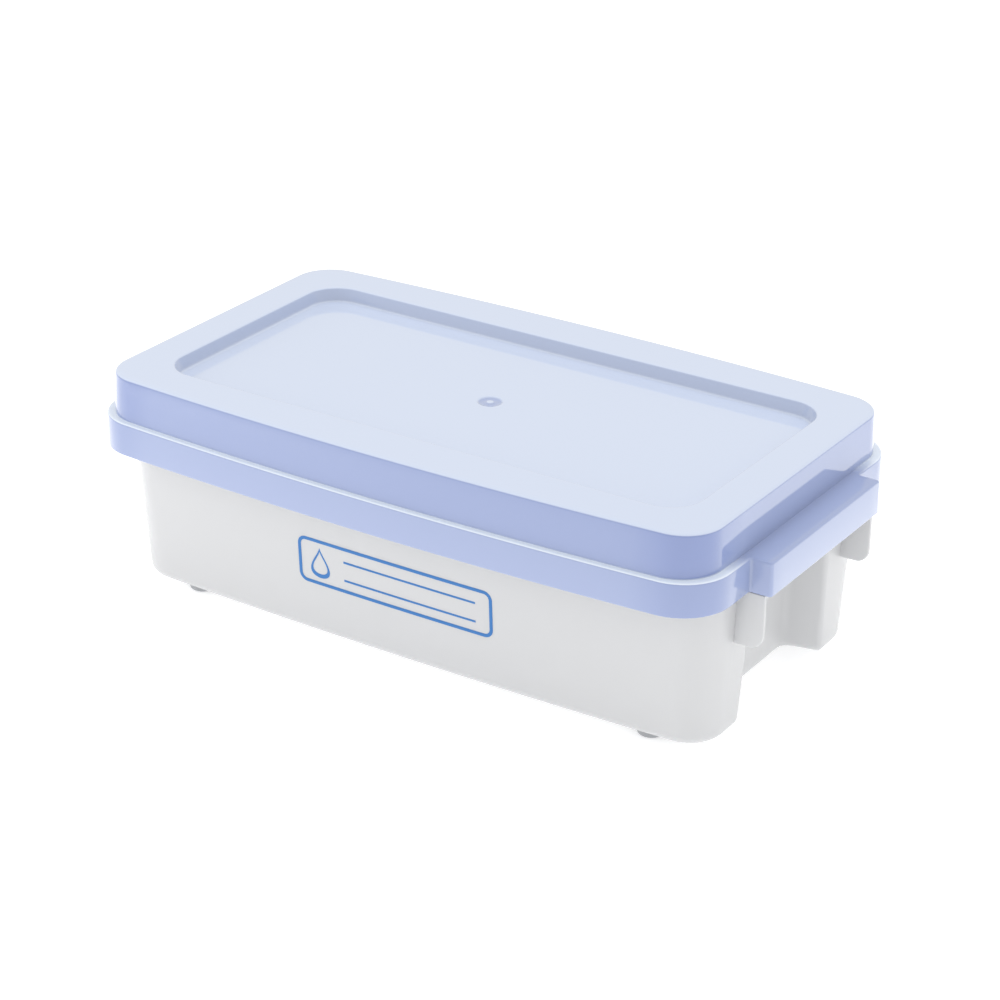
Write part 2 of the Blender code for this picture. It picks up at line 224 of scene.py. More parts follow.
CORNER_STEPS = 12
FILLET_STEPS = 5
END_STEPS = 12
BOW_STEPS = 24
PROFILE_STEPS = 4
SMALLEST_RADIUS = 0.0003
SIDE_SPREAD = 0.002  # half the stretch over which a straight end spreads the points of an ear's side
HAIR = 0.0001  # the least step between faces that would otherwise lie on each other

BRIDGE_SPREAD = 0.005  # the same for the ring that joins the tank's recessed outline to its rim
BRIDGE_MARGIN = 0.001  # how far inside the recess's mouth that ring turns

EAR_FOOT_ROUND = 0.0008
EAR_TIP_ROUND = 0.0014
CORNER_ACROSS = (0.048, 0.060)  # over which a corner's extra painted shade rises, along Y and along X
CORNER_ALONG = (0.095, 0.118)
END_ACROSS = (0.040, 0.055)  # over which the painted shade of the ends rises to that of the corners
EAR_EDGE = (0.006, 0.004)  # how far inside the skirt's end the painted shade of the ear's top begins and is full
EAR_MARGIN = 0.003  # how far beside the ear that painted shade reaches
EAR_SIDE = 0.0012  # how far in from its sides an ear takes the full painted shade of the walls
END_SKIN = 0.001  # how far in from the skirt's end face a point counts as on it
PAN_SKIN = 0.0003  # how near its edges the pan's wall takes the pale lit colour instead of its painted shade
EDGE_SKIN = 0.0004  # how near its upper edge any other wall of the lid takes the painted light of the edge


def arc(centre, radius, start, end, steps):
    turns = [start + (end - start) * k / steps for k in range(steps + 1)]
    return [(centre[0] + radius * math.cos(t), centre[1] + radius * math.sin(t)) for t in turns]


def fillet(before, corner, after, radius, steps=FILLET_STEPS):
    """The arc that rounds off the corner between two straight legs."""
    corner = Vector(corner)
    leg_in = (Vector(before) - corner).normalized()
    leg_out = (Vector(after) - corner).normalized()
    half = leg_in.angle(leg_out) / 2
    centre = corner + (leg_in + leg_out).normalized() * radius / math.sin(half)
    first = corner + leg_in * radius / math.tan(half) - centre
    last = corner + leg_out * radius / math.tan(half) - centre
    start = math.atan2(first.y, first.x)
    sweep = math.atan2(first.x * last.y - first.y * last.x, first.dot(last))
    return arc(centre, radius, start, start + sweep, steps)


def rounded(corners, steps=PROFILE_STEPS):
    """An open path through (a, b, radius) corners, rounded at each; the two ends stay as they are."""
    path = [corners[0][:2]]
    for before, here, after in zip(corners, corners[1:], corners[2:]):
        if here[2] > 0:
            path += fillet(before[:2], here[:2], after[:2], here[2], steps)
        else:
            path.append(here[:2])
    return path + [corners[-1][:2]]


def between(a, b, steps):
    """Points strictly between a and b."""
    return [tuple(Vector(a).lerp(Vector(b), k / steps)) for k in range(1, steps)]


def stepped_end(face, tip, mouth, back, mouth_round, tip_round):
    """The middle of the +X end where it steps out to an ear, or in to a recess, from -Y to +Y."""
    far = 1.0
    legs = [(face, -mouth - far), (face, -mouth), (tip, -back), (tip, 0)]
    half = []
    for k, radius in ((1, mouth_round), (2, tip_round)):
        half += fillet(legs[k - 1], legs[k], legs[k + 1], max(radius, SMALLEST_RADIUS))
    other = [(x, -y) for x, y in reversed(half)]
    return half + between(half[-1], other[0], END_STEPS) + other


def flat_end(face, half, spread=SIDE_SPREAD):
    """The same number of points as stepped_end, on a straight end."""
    count = 2 * (FILLET_STEPS + 1)
    side = [(face, -half - spread + 2 * spread * k / (count - 1)) for k in range(count)]
    other = [(x, -y) for x, y in reversed(side)]
    return side + between(side[-1], other[0], END_STEPS) + other


def outline(half_length, half_width, radius, bow, inset, end):
    """A round-cornered rectangle whose long sides swell out by bow; end is its +X end's middle."""
    reach, width, turn = half_length - inset, half_width - inset, max(radius - inset, SMALLEST_RADIUS)
    straight = reach - turn
    points = arc((straight, turn - width), turn, -math.pi / 2, 0, CORNER_STEPS)
    points += end
    points += arc((straight, width - turn), turn, 0, math.pi / 2, CORNER_STEPS)
    for k in range(1, BOW_STEPS):
        x = straight * (1 - 2 * k / BOW_STEPS)
        points.append((x, width + bow * (1 - (x / straight) ** 2)))
    return points + [(-x, -y) for x, y in points]


def smooth(low, high, value):
    """0 below low, 1 above high, with a smooth rise in between."""
    t = min(max((value - low) / (high - low), 0), 1)
    return t * t * (3 - 2 * t)


def ring(like, radius):
    """A circle whose points lie in the directions of another outline's points."""
    return [tuple(Vector(p).normalized() * radius) for p in like]


# ---------------------------------------------------------------- meshes

SHARP_ANGLE = math.radians(32)  # edges that turn more than this stay crisp
FIN_EDGE = 0.0002  # widths of the softened edges of the flat parts
HANDLE_EDGE = 0.0003
GRIP_EDGE = 0.0006


def mesh_object(name, bm):
    mesh = bpy.data.meshes.new(name)
    bm.to_mesh(mesh)
    bm.free()
    obj = bpy.data.objects.new(name, mesh)
    bpy.context.scene.collection.objects.link(obj)
    return obj


def solid_object(name, bm):
    """A mesh object whose faces are made to point outwards."""
    bmesh.ops.recalc_face_normals(bm, faces=bm.faces)
    return mesh_object(name, bm)


def loft(name, sections):
    """A closed shell through (outline, z, depth of colour) sections of one point count.

    The depth of colour, which paints light and shade into the colour, is a number, or a function of x and y.
    """
    bm = bmesh.new()
    depth = bm.verts.layers.float.new(DEPTH)
    rings = []
    for points, z, shade in sections:
        ring_verts = [bm.verts.new((x, y, z)) for x, y in points]
        for vert in ring_verts:
            vert[depth] = shade(vert.co.x, vert.co.y) if callable(shade) else shade
        rings.append(ring_verts)
    bm.faces.new(rings[0])
    bm.faces.new(reversed(rings[-1]))
    for low, high in zip(rings, rings[1:]):
        for k in range(len(low)):
            n = (k + 1) % len(low)
            bm.faces.new((low[k], low[n], high[n], high[k]))
    return solid_object(name, bm)


def bar(name, path, half_width, edge):
    """A flat outline in the XZ plane, given by (x, z) points, thickened along Y with softened edges."""
    bm = bmesh.new()
    depth = bm.verts.layers.float.new(DEPTH)
    face = bm.faces.new([bm.verts.new((x, -half_width, z)) for x, z in path])
    grown = bmesh.ops.extrude_face_region(bm, geom=[face])["geom"]
    moved = [v for v in grown if isinstance(v, bmesh.types.BMVert)]
    bmesh.ops.translate(bm, verts=moved, vec=(0, 2 * half_width, 0))
    bmesh.ops.recalc_face_normals(bm, faces=bm.faces)
    if edge:
        rim = [e for e in bm.edges if abs(e.verts[0].co.y - e.verts[1].co.y) < 1e-7]
        bmesh.ops.bevel(bm, geom=rim, offset=edge, segments=2, profile=0.5, affect="EDGES")
    for vert in bm.verts:
        vert[depth] = 1.0
    return solid_object(name, bm)


def strip(bm, first, second, closed=True):
    """Flat faces in the XZ plane between two paths; they face -Y where the second is on the first's left."""
    near, far = ([bm.verts.new((x, 0, z)) for x, z in path] for path in (first, second))
    for k in range(len(near) if closed else len(near) - 1):
        n = (k + 1) % len(near)
        bm.faces.new((near[k], near[n], far[n], far[k]))


def block_path(x0, x1, z0, z1, corner_round):
    """An upright rectangle in XZ whose corner at (x1, z0) is rounded."""
    return rounded([(x0, z1, 0), (x0, z0, 0), (x1, z0, corner_round), (x1, z1, 0)], 6)


def merge(obj, other, operation="UNION"):
    """Joins another solid into obj, or cuts it out, and removes that solid."""
    step = obj.modifiers.new(operation.lower(), "BOOLEAN")
    step.operation = operation
    step.object = other
    step.solver = "EXACT"
    settle(obj)
    bpy.data.objects.remove(other, do_unlink=True)


def settle(obj):
    """Turns what the modifiers make into the object's own mesh."""
    graph = bpy.context.evaluated_depsgraph_get()
    graph.update()
    old = obj.data
    obj.data = bpy.data.meshes.new_from_object(obj.evaluated_get(graph))
    obj.modifiers.clear()
    obj.data.name = old.name
    bpy.data.meshes.remove(old)


def dress(obj, mat, body, slot, *nodes):
    """Gives a piece its material, its smooth shading and its place in the frame."""
    obj.data.materials.clear()
    obj.data.materials.append(mat)
    obj.data.shade_smooth()
    obj.data.set_sharp_from_angle(angle=SHARP_ANGLE)
    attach(obj, body)
    if nodes:
        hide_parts(*nodes)


# ---------------------------------------------------------------- geometry nodes


def add_node(tree, kind, inputs=(), **settings):
    """A node with its settings, and each input set to a value or linked from a socket."""
    node = tree.nodes.new(kind)
    for name, value in settings.items():
        setattr(node, name, value)
    for key, value in dict(inputs).items():
        if isinstance(value, bpy.types.NodeSocket):
            tree.links.new(value, node.inputs[key])
        else:
            node.inputs[key].default_value = value
    return node


def calc(tree, operation, a, b=0.0):
    """One math node; returns its output."""
    return add_node(tree, "ShaderNodeMath", {0: a, 1: b}, operation=operation).outputs[0]


def new_tree(name, sockets):
    """A Geometry Nodes tree with a geometry input and output, the named inputs and a material."""
    tree = bpy.data.node_groups.new(name, "GeometryNodeTree")
    tree.interface.new_socket(name="Geometry", in_out="OUTPUT", socket_type="NodeSocketGeometry")
    tree.interface.new_socket(name="Geometry", in_out="INPUT", socket_type="NodeSocketGeometry")
    for label, kind in {**sockets, "Material": "NodeSocketMaterial"}.items():
        tree.interface.new_socket(name=label, in_out="INPUT", socket_type=kind)
    return tree, tree.nodes.new("NodeGroupInput").outputs


def end_tree(tree, geometry, material):
    """Ends a tree in Realize Instances and Set Material."""
    real = add_node(tree, "GeometryNodeRealizeInstances", {"Geometry": geometry})
    done = add_node(tree, "GeometryNodeSetMaterial", {"Geometry": real.outputs[0], "Material": material})
    add_node(tree, "NodeGroupOutput", {0: done.outputs[0]})


def run_tree(obj, tree, values):
    """Runs a tree on an object with the named values, and keeps the result as its mesh."""
    step = obj.modifiers.new(tree.name, "NODES")
    step.node_group = tree
    ids = {s.name: s.identifier for s in tree.interface.items_tree if s.in_out == "INPUT"}
    for label, value in values.items():
        step[ids[label]] = value
    settle(obj)


def perforation_tree():
    """Cuts a grid of upright round holes through a sheet."""
    name = "drain holes"
    if name in bpy.data.node_groups:
        return bpy.data.node_groups[name]
    tree, given = new_tree(name, {
        "Columns": "NodeSocketInt", "Rows": "NodeSocketInt", "Pitch": "NodeSocketFloat",
        "Radius": "NodeSocketFloat", "Depth": "NodeSocketFloat", "Middle": "NodeSocketFloat",
    })
    span_x = calc(tree, "MULTIPLY", calc(tree, "SUBTRACT", given["Columns"], 1.0), given["Pitch"])
    span_y = calc(tree, "MULTIPLY", calc(tree, "SUBTRACT", given["Rows"], 1.0), given["Pitch"])
    grid = add_node(tree, "GeometryNodeMeshGrid", {
        "Size X": span_x, "Size Y": span_y, "Vertices X": given["Columns"], "Vertices Y": given["Rows"],
    })
    lift = add_node(tree, "ShaderNodeCombineXYZ", {"Z": given["Middle"]})
    placed = add_node(tree, "GeometryNodeTransform", {
        "Geometry": grid.outputs[0], "Translation": lift.outputs[0],
    })
    drill = add_node(tree, "GeometryNodeMeshCylinder", {
        "Vertices": 32, "Radius": given["Radius"], "Depth": given["Depth"],
    })
    drills = add_node(tree, "GeometryNodeInstanceOnPoints", {
        "Points": placed.outputs[0], "Instance": drill.outputs["Mesh"],
    })
    solid = add_node(tree, "GeometryNodeRealizeInstances", {"Geometry": drills.outputs[0]})
    cut = add_node(tree, "GeometryNodeMeshBoolean", {
        "Mesh 1": given["Geometry"], "Mesh 2": solid.outputs[0],
    }, operation="DIFFERENCE", solver="EXACT")
    end_tree(tree, cut.outputs["Mesh"], given["Material"])
    return tree


def wrap_tree():
    """Lays flat artwork, drawn in X and Z, onto the tank's leaning and swelling front wall."""
    tree, given = new_tree("wrap on front wall", {
        "Half Width": "NodeSocketFloat", "Draft": "NodeSocketFloat", "Floor": "NodeSocketFloat",
        "Bow": "NodeSocketFloat", "Straight": "NodeSocketFloat",
    })
    place = add_node(tree, "GeometryNodeInputPosition").outputs[0]
    x, y, z = add_node(tree, "ShaderNodeSeparateXYZ", {0: place}).outputs
    lean = calc(tree, "MULTIPLY", calc(tree, "SUBTRACT", z, given["Floor"]), given["Draft"])
    along = calc(tree, "POWER", calc(tree, "ABSOLUTE", calc(tree, "DIVIDE", x, given["Straight"])), 2.0)
    swell = calc(tree, "MULTIPLY", calc(tree, "SUBTRACT", 1.0, along), given["Bow"])
    wall = calc(tree, "ADD", calc(tree, "ADD", given["Half Width"], lean), swell)
    shift = add_node(tree, "ShaderNodeCombineXYZ", {"Y": calc(tree, "MULTIPLY", wall, -1.0)})
    moved = add_node(tree, "GeometryNodeSetPosition", {
        "Geometry": given["Geometry"], "Offset": shift.outputs[0],
    })
    end_tree(tree, moved.outputs[0], given["Material"])
    return tree


# ---------------------------------------------------------------- materials


def shader_group(name, inputs, outputs):
    tree = bpy.data.node_groups.new(name, "ShaderNodeTree")
    for label, value in inputs.items():
        socket = tree.interface.new_socket(name=label, in_out="INPUT", socket_type="NodeSocketFloat")
        socket.default_value = value
    for label in outputs:
        tree.interface.new_socket(name=label, in_out="OUTPUT", socket_type="NodeSocketFloat")
    return tree, tree.nodes.new("NodeGroupInput").outputs


def moulded_surface():
    """Fine orange-peel skin, patchy polish and cloudy tint of an injection-moulded surface."""
    name = "moulded surface"
    if name in bpy.data.node_groups:
        return bpy.data.node_groups[name]
    tree, given = shader_group(
        name, {"Polish": 0.2, "Patchiness": 0.05, "Cloudiness": 0.05}, ("Height", "Roughness", "Cloud")
    )
    place = add_node(tree, "ShaderNodeTexCoord").outputs["Object"]
    peel = add_node(tree, "ShaderNodeTexNoise", {"Vector": place, "Scale": 420.0, "Detail": 2.0})
    ripple = add_node(tree, "ShaderNodeTexNoise", {"Vector": place, "Scale": 36.0, "Detail": 1.0})
    height = calc(tree, "ADD", calc(tree, "MULTIPLY", peel.outputs[0], 0.25), ripple.outputs[0])
    patch = add_node(tree, "ShaderNodeTexNoise", {"Vector": place, "Scale": 22.0, "Detail": 3.0})
    worn = calc(tree, "MULTIPLY", calc(tree, "SUBTRACT", patch.outputs[0], 0.5), given["Patchiness"])
    cloud = add_node(tree, "ShaderNodeTexNoise", {"Vector": place, "Scale": 9.0, "Detail": 2.0})
    haze = calc(tree, "MULTIPLY", calc(tree, "SUBTRACT", cloud.outputs[0], 0.5), given["Cloudiness"])
    add_node(tree, "NodeGroupOutput", {
        "Height": height, "Roughness": calc(tree, "ADD", given["Polish"], worn), "Cloud": haze,
    })
    return tree


def plastic(name, pale, deep, polish, patchiness=0.05, cloudiness=0.06, bump=0.02, milky=0.0, gloss=0.0):
    """A moulded plastic whose colour runs from pale, painted light on flat panels, to deep, painted shade on
    walls.
    """
    mat = bpy.data.materials.new(name)
    mat.use_nodes = True
    tree = mat.node_tree
    shader = tree.nodes["Principled BSDF"]
    skin = add_node(tree, "ShaderNodeGroup", node_tree=moulded_surface())
    for label, value in (("Polish", polish), ("Patchiness", patchiness), ("Cloudiness", cloudiness)):
        skin.inputs[label].default_value = value
    # the painted light and shade on the points, with a random cloudy tint added, pick between the pale and
    # the deep colour
    depth = add_node(tree, "ShaderNodeAttribute", attribute_name=DEPTH)
    where = calc(tree, "ADD", depth.outputs["Fac"], skin.outputs["Cloud"])
    blend = add_node(tree, "ShaderNodeMix", data_type="RGBA", clamp_factor=False)
    blend.inputs[6].default_value = (*pale, 1)
    blend.inputs[7].default_value = (*deep, 1)
    tree.links.new(where, blend.inputs[0])
    tree.links.new(blend.outputs[2], shader.inputs["Base Color"])
    tree.links.new(skin.outputs["Roughness"], shader.inputs["Roughness"])
    relief = add_node(tree, "ShaderNodeBump", {"Height": skin.outputs["Height"], "Strength": bump})
    relief.inputs["Distance"].default_value = 0.001
    tree.links.new(relief.outputs[0], shader.inputs["Normal"])
    shader.inputs["IOR"].default_value = 1.5
    shader.inputs["Coat Weight"].default_value = gloss
    shader.inputs["Coat Roughness"].default_value = polish / 2
    if milky:
        shader.inputs["Subsurface Weight"].default_value = milky
        shader.inputs["Subsurface Radius"].default_value = (1.0, 1.0, 1.0)
        shader.inputs["Subsurface Scale"].default_value = 0.003
    return mat


# ---------------------------------------------------------------- pieces


def skirt_with(inset, end):
    s = sizes()
    return outline(s.skirt_half_length, LID_HIGH.y - s.side_bow, s.skirt_radius, s.side_bow, inset, end)


def plain_skirt(inset):
    """The skirt's outline with straight ends."""
    s = sizes()
    return skirt_with(inset, flat_end(s.skirt_half_length - inset, s.ear_half_width - inset))


def eared_skirt(inset, face_inset=None):
    """The skirt's outline with its ears; face_inset moves the end faces beside the ears on their own."""
    s = sizes()
    face = s.skirt_half_length - (inset if face_inset is None else face_inset)
    tip, half = LID_HIGH.x - inset, s.ear_half_width - inset
    foot_round, tip_round = EAR_FOOT_ROUND + inset, EAR_TIP_ROUND - inset
    return skirt_with(inset, stepped_end(face, tip, half, half, foot_round, tip_round))


def rim_bridge(z, inset, face_inset):
    """The ring between the tank's recessed outline and its eared rim."""
    s = sizes()
    mouth = s.recess_mouth - s.recess_draft * (z - TANK_LOW.z) - BRIDGE_MARGIN
    return skirt_with(inset, flat_end(s.skirt_half_length - face_inset, mouth, BRIDGE_SPREAD))


def pan_outline(inset):
    s = sizes()
    end = flat_end(s.pan_half_length - inset, 0.6 * s.pan_half_width)
    return outline(s.pan_half_length, s.pan_half_width, s.pan_radius, 0.0, inset, end)


def tank_outline(z, inset):
    s = sizes()
    up = z - TANK_LOW.z
    half_length = s.tank_half_length + s.length_draft * up
    half_width = s.tank_half_width + s.width_draft * up
    face = half_length - inset
    lean = s.recess_draft * up
    end = stepped_end(
        face, face - s.recess_depth, s.recess_mouth - lean + inset, s.recess_root - lean + inset,
        s.mouth_round - inset, s.root_round + inset,
    )
    return outline(half_length, half_width, s.tank_radius, s.tank_bow, inset, end)


def insert_outline(half_length, half_width, radius, inset):
    end = flat_end(half_length - inset, 0.5 * half_width)
    return outline(half_length, half_width, radius, 0.0, inset, end)


def wall_painted_shade(x, y):
    """Painted shade on the lid's walls: full on the long sides and beside the ears, less on the ends, and
    more at the corners.
    """
    s = sizes()
    beside_ear = abs(y) > s.ear_half_width - EAR_SIDE and abs(x) > s.skirt_half_length - END_SKIN
    corner = s.corner_shade * smooth(*CORNER_ACROSS, abs(y)) * smooth(*CORNER_ALONG, abs(x))
    if beside_ear or abs(x) < s.skirt_half_length - s.skirt_radius:
        return 1.0 + corner
    return 1 - (1 - s.end_shade) * (1 - smooth(*END_ACROSS, abs(y))) + corner


def ledge_painted_light(x, y):
    """Painted light on the lid's step: a pale painted highlight, but the full painted shade of the ears on
    top of the ears.
    """
    s = sizes()
    begins, full = (s.skirt_half_length - inside for inside in EAR_EDGE)
    on_ear = abs(y) < s.ear_half_width + EAR_MARGIN
    over = smooth(begins, full, abs(x)) if on_ear else 0.0
    return over * s.ear_top_shade + (1 - over) * s.edge_highlight


def skirt_painted_shade(x, y):
    """Painted shade on the skirt, lighter than on the band above it."""
    return sizes().skirt_shade * wall_painted_shade(x, y)


def foot_painted_light(x, y):
    """Painted light and shade on the fillet between the band and the step, half way between theirs."""
    return (wall_painted_shade(x, y) + ledge_painted_light(x, y)) / 2


# painted shade in the moulding mark's dimple, and half painted shade on the pan's underside
MARK_SHADE = 0.7
UNDERSIDE_SHADE = 0.5


class SOAKING_OT_lid(bpy.types.Operator):
    """Build the blue lid with its pan, ledge, skirt and ears"""

    bl_idname = "soaking.lid"
    bl_label = "Lid"

    def execute(self, context):
        s = sizes()
        top, floor, low = LID_HIGH.z, LID_HIGH.z - s.pan_depth, LID_LOW.z
        base = s.skirt_draft + s.ledge_width
        crown = base + s.band_draft
        wall, ledge, gate = s.lid_wall, s.ledge_z, s.gate_radius
        sections = []

        def band(inset):
            """The upper band's outline; its ends lean less than its sides."""
            steeper = s.end_steepness * max(crown - inset, 0)
            half_length = s.skirt_half_length - steeper
            end = flat_end(half_length - inset, s.ear_half_width - inset)
            half_width = LID_HIGH.y - s.side_bow
            return outline(half_length, half_width, s.skirt_radius, s.side_bow, inset, end)

        mark = [(0.0007, 0.0), (0.0012, -0.0001), (0.0016, -0.0005), (0.0026, -0.0007)]
        mark += [(gate - 0.0008, -0.0005), (gate - 0.0002, -0.0001), (gate, 0.0), (gate + 0.0006, 0.0)]
        # the mark's sunken rings take painted shade, its rim the pale lit colour
        for radius, rise in mark:
            tint = MARK_SHADE if rise < -PAN_SKIN else 0.0
            sections.append((ring(pan_outline(0), radius), floor + rise, tint))

        pan = rounded([
            (0.008, floor, 0), (s.pan_draft, floor, 0.0012), (0, top, 0.0007), (-0.002, top, 0),
        ])
        # the pan's wall takes painted shade, its floor and edges the pale lit colour
        for inset, z in pan:
            on_wall = floor + PAN_SKIN < z < top - PAN_SKIN
            sections.append((pan_outline(inset), z, s.pan_wall_shade if on_wall else 0.0))

        outer = rounded([
            (crown + 0.003, top, 0), (crown, top, s.top_round), (base, ledge + 0.0007, 0),
        ])
        # the band takes the walls' painted shade, its top edge the pale lit colour
        for inset, z in outer:
            sections.append((band(inset), z, wall_painted_shade if z < top - EDGE_SKIN else 0.0))
        # the band's foot and the step take painted light: a highlight on the step, shade on the ears' tops
        sections.append((band(base), ledge + 0.0002, foot_painted_light))
        sections.append((band(base), ledge, ledge_painted_light))
        skirt = rounded([
            (base, ledge, 0), (s.skirt_draft, ledge, 0.0008), (0, low, 0.0005), (wall, low, 0.0005),
            (wall, ledge - wall, 0.0004), (base + wall - 0.0003, ledge - wall, 0),
        ])
        # the skirt takes its painted shade, its upper edge and the ears' tops the step's painted light
        for inset, z in skirt[1:]:
            sections.append((eared_skirt(inset), z, skirt_painted_shade if z < ledge - EDGE_SKIN else ledge_painted_light))

        under = rounded([
            (base + wall, ledge - wall, 0), (crown + wall, top - wall, 0.001),
            (crown + wall + 0.003, top - wall, 0),
        ])
        # the lid's inside takes full painted shade, the pan's underside half
        for inset, z in under:
            sections.append((plain_skirt(inset), z, 1.0))
        beneath = rounded([
            (-wall - 0.002, top - wall, 0), (-wall, top - wall, 0.0006),
            (s.pan_draft - wall, floor - wall, 0.0015), (0.008, floor - wall, 0),
        ])
        for inset, z in beneath:
            sections.append((pan_outline(inset), z, UNDERSIDE_SHADE))
        sections.append((ring(pan_outline(0), gate), floor - wall, 0.0))

        lid = loft("lid_shell", sections)
        c = colours()
        # the lid's blue runs from its lit to its shaded copy by the painted light and shade above
        mat = plastic("blue polypropylene", c.lid_lit, c.lid_shaded, 0.08, 0.02, 0.04, 0.01, gloss=1.0)
        dress(lid, mat, "cover", "lid_plastic", "lid")
        return {"FINISHED"}


class SOAKING_OT_tank(bpy.types.Operator):
    """Build the milky white tank with its end recesses, rim, ears and fins"""

    bl_idname = "soaking.tank"
    bl_label = "Tank"

    def execute(self, context):
        s = sizes()
        low, top = TANK_LOW.z, TANK_HIGH.z
        under = top - s.rim_thickness
        outer = rounded([(0.007, low, 0), (0, low, s.bottom_round), (0, under, 0)], 6)
        sections = [(tank_outline(z, inset), z, 0.0) for inset, z in outer]

        edge = s.lid_wall + s.clearance
        inner = edge + s.rim_lip_wall
        sections.append((rim_bridge(under, inner + HAIR, edge + 0.0013), under, 0.0))
        lip = rounded([
            (inner, under, 0), (inner, s.rim_lip_z, 0.0004),
            (edge, s.rim_lip_z, 0.0004), (edge, top, 0.0005), (edge + 0.0006, top, 0),
        ])
        sections += [(eared_skirt(inset, min(inset, edge + 0.001)), z, 0.0) for inset, z in lip]
        sections.append((rim_bridge(top, edge + 0.0009, edge + 0.0009), top, 0.0))

        wall, floor = s.tank_wall, low + s.tank_wall
        inner_wall = rounded([
            (wall - 0.002, top, 0), (wall, top, 0.0008), (wall, floor, 0.003), (0.009, floor, 0),
        ], 5)
        sections += [(tank_outline(z, inset), z, 0.0) for inset, z in inner_wall]
        tank = loft("tank_shell", sections)

        reach = TANK_HIGH.x - HAIR
        shoulder = LID_LOW.z - s.clearance / 4
        outside, inside = s.ear_half_width - HAIR, s.ear_half_width - edge - HAIR
        plates = (
            (outside - s.fin_wall, outside, s.fin_z, shoulder, 0.005),
            (inside - s.fin_wall, outside - 3 * HAIR, shoulder - s.fin_wall, shoulder - HAIR, 0),
            (inside - s.fin_wall, inside, shoulder - s.fin_wall / 2, under + 0.001, 0),
        )
        for end in (-1, 1):
            for side in (-1, 1):
                for near, far, z0, z1, turn in plates:
                    root = s.tank_half_length + s.length_draft * (z1 - low) - wall / 2
                    path = [(end * x, z) for x, z in block_path(root, reach, z0, z1, turn)]
                    fin = bar("fin", path, (far - near) / 2, FIN_EDGE)
                    fin.data.transform(Matrix.Translation((0, side * (near + far) / 2, 0)))
                    merge(tank, fin)
        c = colours()
        mat = plastic("milky polypropylene", c.tank, c.tank, 0.24, milky=0.25)
        dress(tank, mat, "box", "tank_plastic", "tank")
        return {"FINISHED"}


class SOAKING_OT_feet(bpy.types.Operator):
    """Build the four grey foot pads"""

    bl_idname = "soaking.feet"
    bl_label = "Feet"

    def execute(self, context):
        mat = plastic("grey pad", colours().foot, colours().foot, 0.62, 0.12, 0.1, 0.15)
        radius = (FOOT_HIGH.x - FOOT_LOW.x) / 2
        height = FOOT_HIGH.z - FOOT_LOW.z
        middle_ring = 0.0005
        side = rounded([
            (middle_ring, 0, 0), (radius, 0, 0.0012), (radius, height, 0.0004), (middle_ring, height, 0),
        ], 5)
        circle = arc((0, 0), 1.0, 0, 2 * math.pi, 48)[:-1]
        for word in ("front_left", "front_right", "back_left", "back_right"):
            low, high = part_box(f"foot_{word}")
            middle = (low + high) / 2
            sections = [
                ([(middle.x + r * x, middle.y + r * y) for x, y in circle], low.z + z, 1.0) for r, z in side
            ]
            pad = loft(f"pad_{word}", sections)
            dress(pad, mat, "box", "foot_rubber", f"foot_{word}")
        return {"FINISHED"}


class SOAKING_OT_basket(bpy.types.Operator):
    """Build the perforated basket with its two handles"""

    bl_idname = "soaking.basket"
    bl_label = "Basket"

    def execute(self, context):
        s = sizes()
        low, rim, wall = BASKET_LOW.z, s.basket_rim_z, s.basket_wall
        grown = -s.basket_spread
        bead = grown - s.basket_bead
        path = rounded([
            (0.007, low, 0), (0, low, 0.003), (grown, rim - wall, 0.0006), (bead, rim - wall, 0.0005),
            (bead, rim, 0.0005), (grown + wall, rim, 0.0005), (wall, low + wall, 0.0022),
            (0.009, low + wall, 0),
        ])
        shape = (s.basket_half_length, s.basket_half_width, s.basket_radius)
        basket = loft("basket_shell", [(insert_outline(*shape, inset), z, 0.0) for inset, z in path])

        tab = TANK_HIGH.z + 0.0003
        face = s.basket_half_length + s.basket_spread
        reach, peak = BASKET_HIGH.x, BASKET_HIGH.z
        strap = rounded([
            (face - wall, rim - 0.003, 0), (face + HAIR, rim - 0.003, 0), (face + HAIR, tab, 0.0006),
            (reach, tab, 0.0016), (reach, peak, 0.0005), (reach - wall, peak, 0.0005),
            (reach - wall, tab + wall, 0.001), (face - wall, tab + wall, 0.0014), (face - wall, rim, 0),
        ])
        for end in (-1, 1):
            handle = bar("handle", [(end * x, z) for x, z in strap], s.handle_half_width, HANDLE_EDGE)
            merge(basket, handle)

        mat = plastic("white polypropylene", colours().insert, colours().insert, 0.38, 0.08)
        run_tree(basket, perforation_tree(), {
            "Columns": s.basket_columns, "Rows": s.basket_rows, "Pitch": s.basket_pitch,
            "Radius": s.hole_radius, "Depth": 4 * wall, "Middle": low + wall / 2, "Material": mat,
        })
        dress(basket, mat, "basket", "basket_plastic", "basket")
        return {"FINISHED"}


